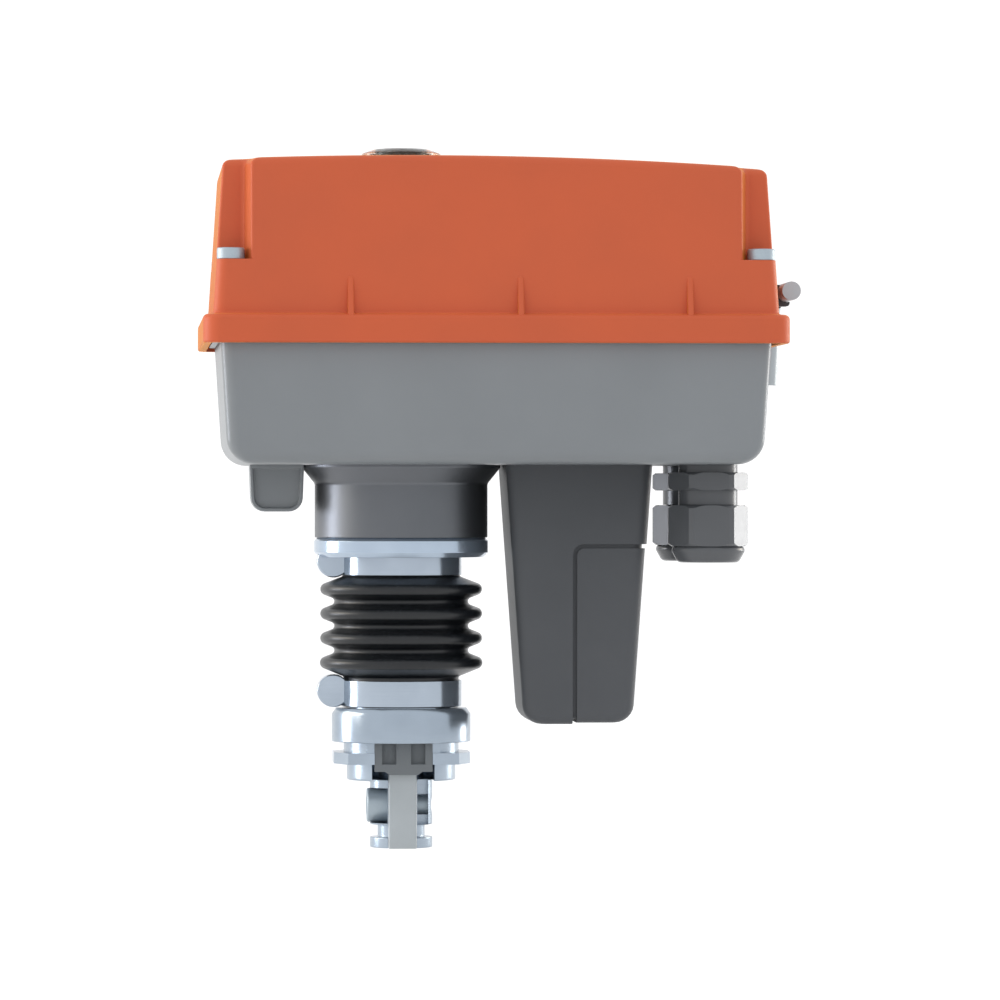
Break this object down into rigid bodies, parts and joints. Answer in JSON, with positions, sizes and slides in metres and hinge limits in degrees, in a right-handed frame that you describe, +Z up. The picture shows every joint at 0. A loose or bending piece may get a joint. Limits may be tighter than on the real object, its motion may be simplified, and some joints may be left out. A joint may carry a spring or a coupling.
{
  "type": "linear electric valve actuator",
  "caption": "Linear electric valve actuator: arched cover on a shallow gear case, round neck with a mounting flange, bellows and stem clamp below, and a boxed motor beside them.",
  "frame": {"origin": "on the stem's axis, halfway through the thickness of the mounting flange", "axes": "+Z up along the spindle towards the cover, +X to the right towards the cable glands, -Y to the front"},
  "size_m": [0.1848, 0.1182, 0.218],
  "materials": {
    "orange_shell": "moulded plastic, fine satin",
    "case_grey": "powder-coated die casting",
    "seal_rubber": "moulded rubber",
    "screw_zinc": "bright zinc plate",
    "crank_steel": "drawn and zinc plated",
    "clip_dark": "moulded nylon",
    "neck_dark": "dark satin paint on casting",
    "flange_steel": "turned steel",
    "bronze": "turned bronze",
    "spindle_steel": "ground stainless steel",
    "gear_steel": "hobbed steel, oiled",
    "gear_nylon": "moulded acetal",
    "plate_steel": "pressed galvanised steel",
    "motor_can": "dark motor can",
    "box_dark": "moulded dark plastic",
    "gland_dark": "moulded nylon",
    "bellows_rubber": "moulded rubber",
    "clamp_steel": "bright stainless strip",
    "head_steel": "turned steel",
    "latch_grey": "grey plated steel",
    "lens_clear": "clear polycarbonate",
    "disc_dark": "printed disc",
    "board_green": "solder mask",
    "terminal_green": "moulded polyamide",
    "component_black": "moulded case"
  },
  "bodies": {
    "housing": {"base_case": "case_grey", "cover_seal": "seal_rubber", "neck": "neck_dark", "neck_screws": "screw_zinc", "mounting_flange": "flange_steel", "guide_bush": "bronze", "lower_bearing": "gear_steel", "upper_bearing": "bronze", "compound_axle": "gear_steel", "motor": "motor_can", "motor_screws": "screw_zinc", "motor_housing": "box_dark", "gear_plate": "plate_steel", "gear_plate_pillars": "plate_steel", "bridge_plate": "plate_steel", "bridge_pillars": "plate_steel", "plate_screws": "screw_zinc", "position_sensor": "component_black", "circuit_board": "board_green", "terminal_block": "terminal_green", "capacitors": "component_black", "relay": "component_black", "gland_body_front": "gland_dark", "gland_cap_front": "gland_dark", "gland_seal_front": "seal_rubber", "gland_locknut_front": "gland_dark", "gland_body_rear": "gland_dark", "gland_cap_rear": "gland_dark", "gland_seal_rear": "seal_rubber", "gland_locknut_rear": "gland_dark", "bellows": "bellows_rubber", "upper_clamp_band": "clamp_steel", "upper_clamp_screw": "clamp_steel"},
    "cover_set": {"cover": "orange_shell", "cover_screws": "screw_zinc", "indicator_lens": "lens_clear", "crank_clips": "clip_dark"},
    "crank": {"hand_crank": "crank_steel"},
    "nut_set": {"drive_nut": "bronze", "drive_gear": "gear_steel"},
    "stem_set": {"spindle": "spindle_steel", "anti_rotation_pin": "gear_steel", "lower_clamp_band": "clamp_steel", "lower_clamp_screw": "clamp_steel", "stem_head": "head_steel", "fork_plate": "head_steel", "latch_block": "latch_grey", "fork_collar": "head_steel", "stem_adapter": "head_steel", "lock_bar": "head_steel", "clamp_bolt": "head_steel", "clamp_nut": "head_steel"},
    "compound_set": {"compound_gear": "gear_steel"},
    "rotor": {"motor_shaft": "gear_steel", "motor_pinion": "gear_steel"},
    "feedback_set": {"feedback_wheel": "gear_nylon", "feedback_shaft": "gear_steel"},
    "indicator_set": {"indicator_gear": "gear_nylon", "indicator_shaft": "gear_steel", "indicator_disc": "disc_dark"}
  },
  "joints": [
    {"name": "nut_spin", "type": "hinge", "parent": "housing", "child": "nut_set", "pos_m": [0, 0, 0.04], "axis": [0, 0, 1], "range_deg": [-901, 901]},
    {"name": "spindle_travel", "type": "slide", "parent": "housing", "child": "stem_set", "axis": [0, 0, -1], "range_m": [-0.01, 0.01], "deforming": ["bellows"]},
    {"name": "compound_spin", "type": "hinge", "parent": "housing", "child": "compound_set", "pos_m": [0.031, 0, 0.04], "axis": [0, 0, 1], "range_deg": [-3090, 3090]},
    {"name": "motor_spin", "type": "hinge", "parent": "housing", "child": "rotor", "pos_m": [0.0545, 0, 0.036], "axis": [0, 0, 1], "range_deg": [-7280, 7280]},
    {"name": "feedback_spin", "type": "hinge", "parent": "housing", "child": "feedback_set", "pos_m": [-0.01856, 0.01856, 0.048], "axis": [0, 0, 1], "range_deg": [-361, 361]},
    {"name": "indicator_spin", "type": "hinge", "parent": "housing", "child": "indicator_set", "pos_m": [0, 0, 0.08], "axis": [0, 0, 1], "range_deg": [-91, 91]},
    {"name": "cover_lift", "type": "slide", "parent": "housing", "child": "cover_set", "axis": [0, 0, 1], "range_m": [0, 0.08]},
    {"name": "crank_pull", "type": "slide", "parent": "cover_set", "child": "crank", "axis": [1, 0, 0], "range_m": [0, 0.03]}
  ],
  "couplings": [
    {"joint": "nut_spin", "follows": "spindle_travel", "rad_per_m": 1570.8},
    {"joint": "compound_spin", "follows": "spindle_travel", "rad_per_m": -5385.6},
    {"joint": "motor_spin", "follows": "spindle_travel", "rad_per_m": 12695},
    {"joint": "feedback_spin", "follows": "spindle_travel", "rad_per_m": -628.32},
    {"joint": "indicator_spin", "follows": "spindle_travel", "rad_per_m": 157.08}
  ]
}
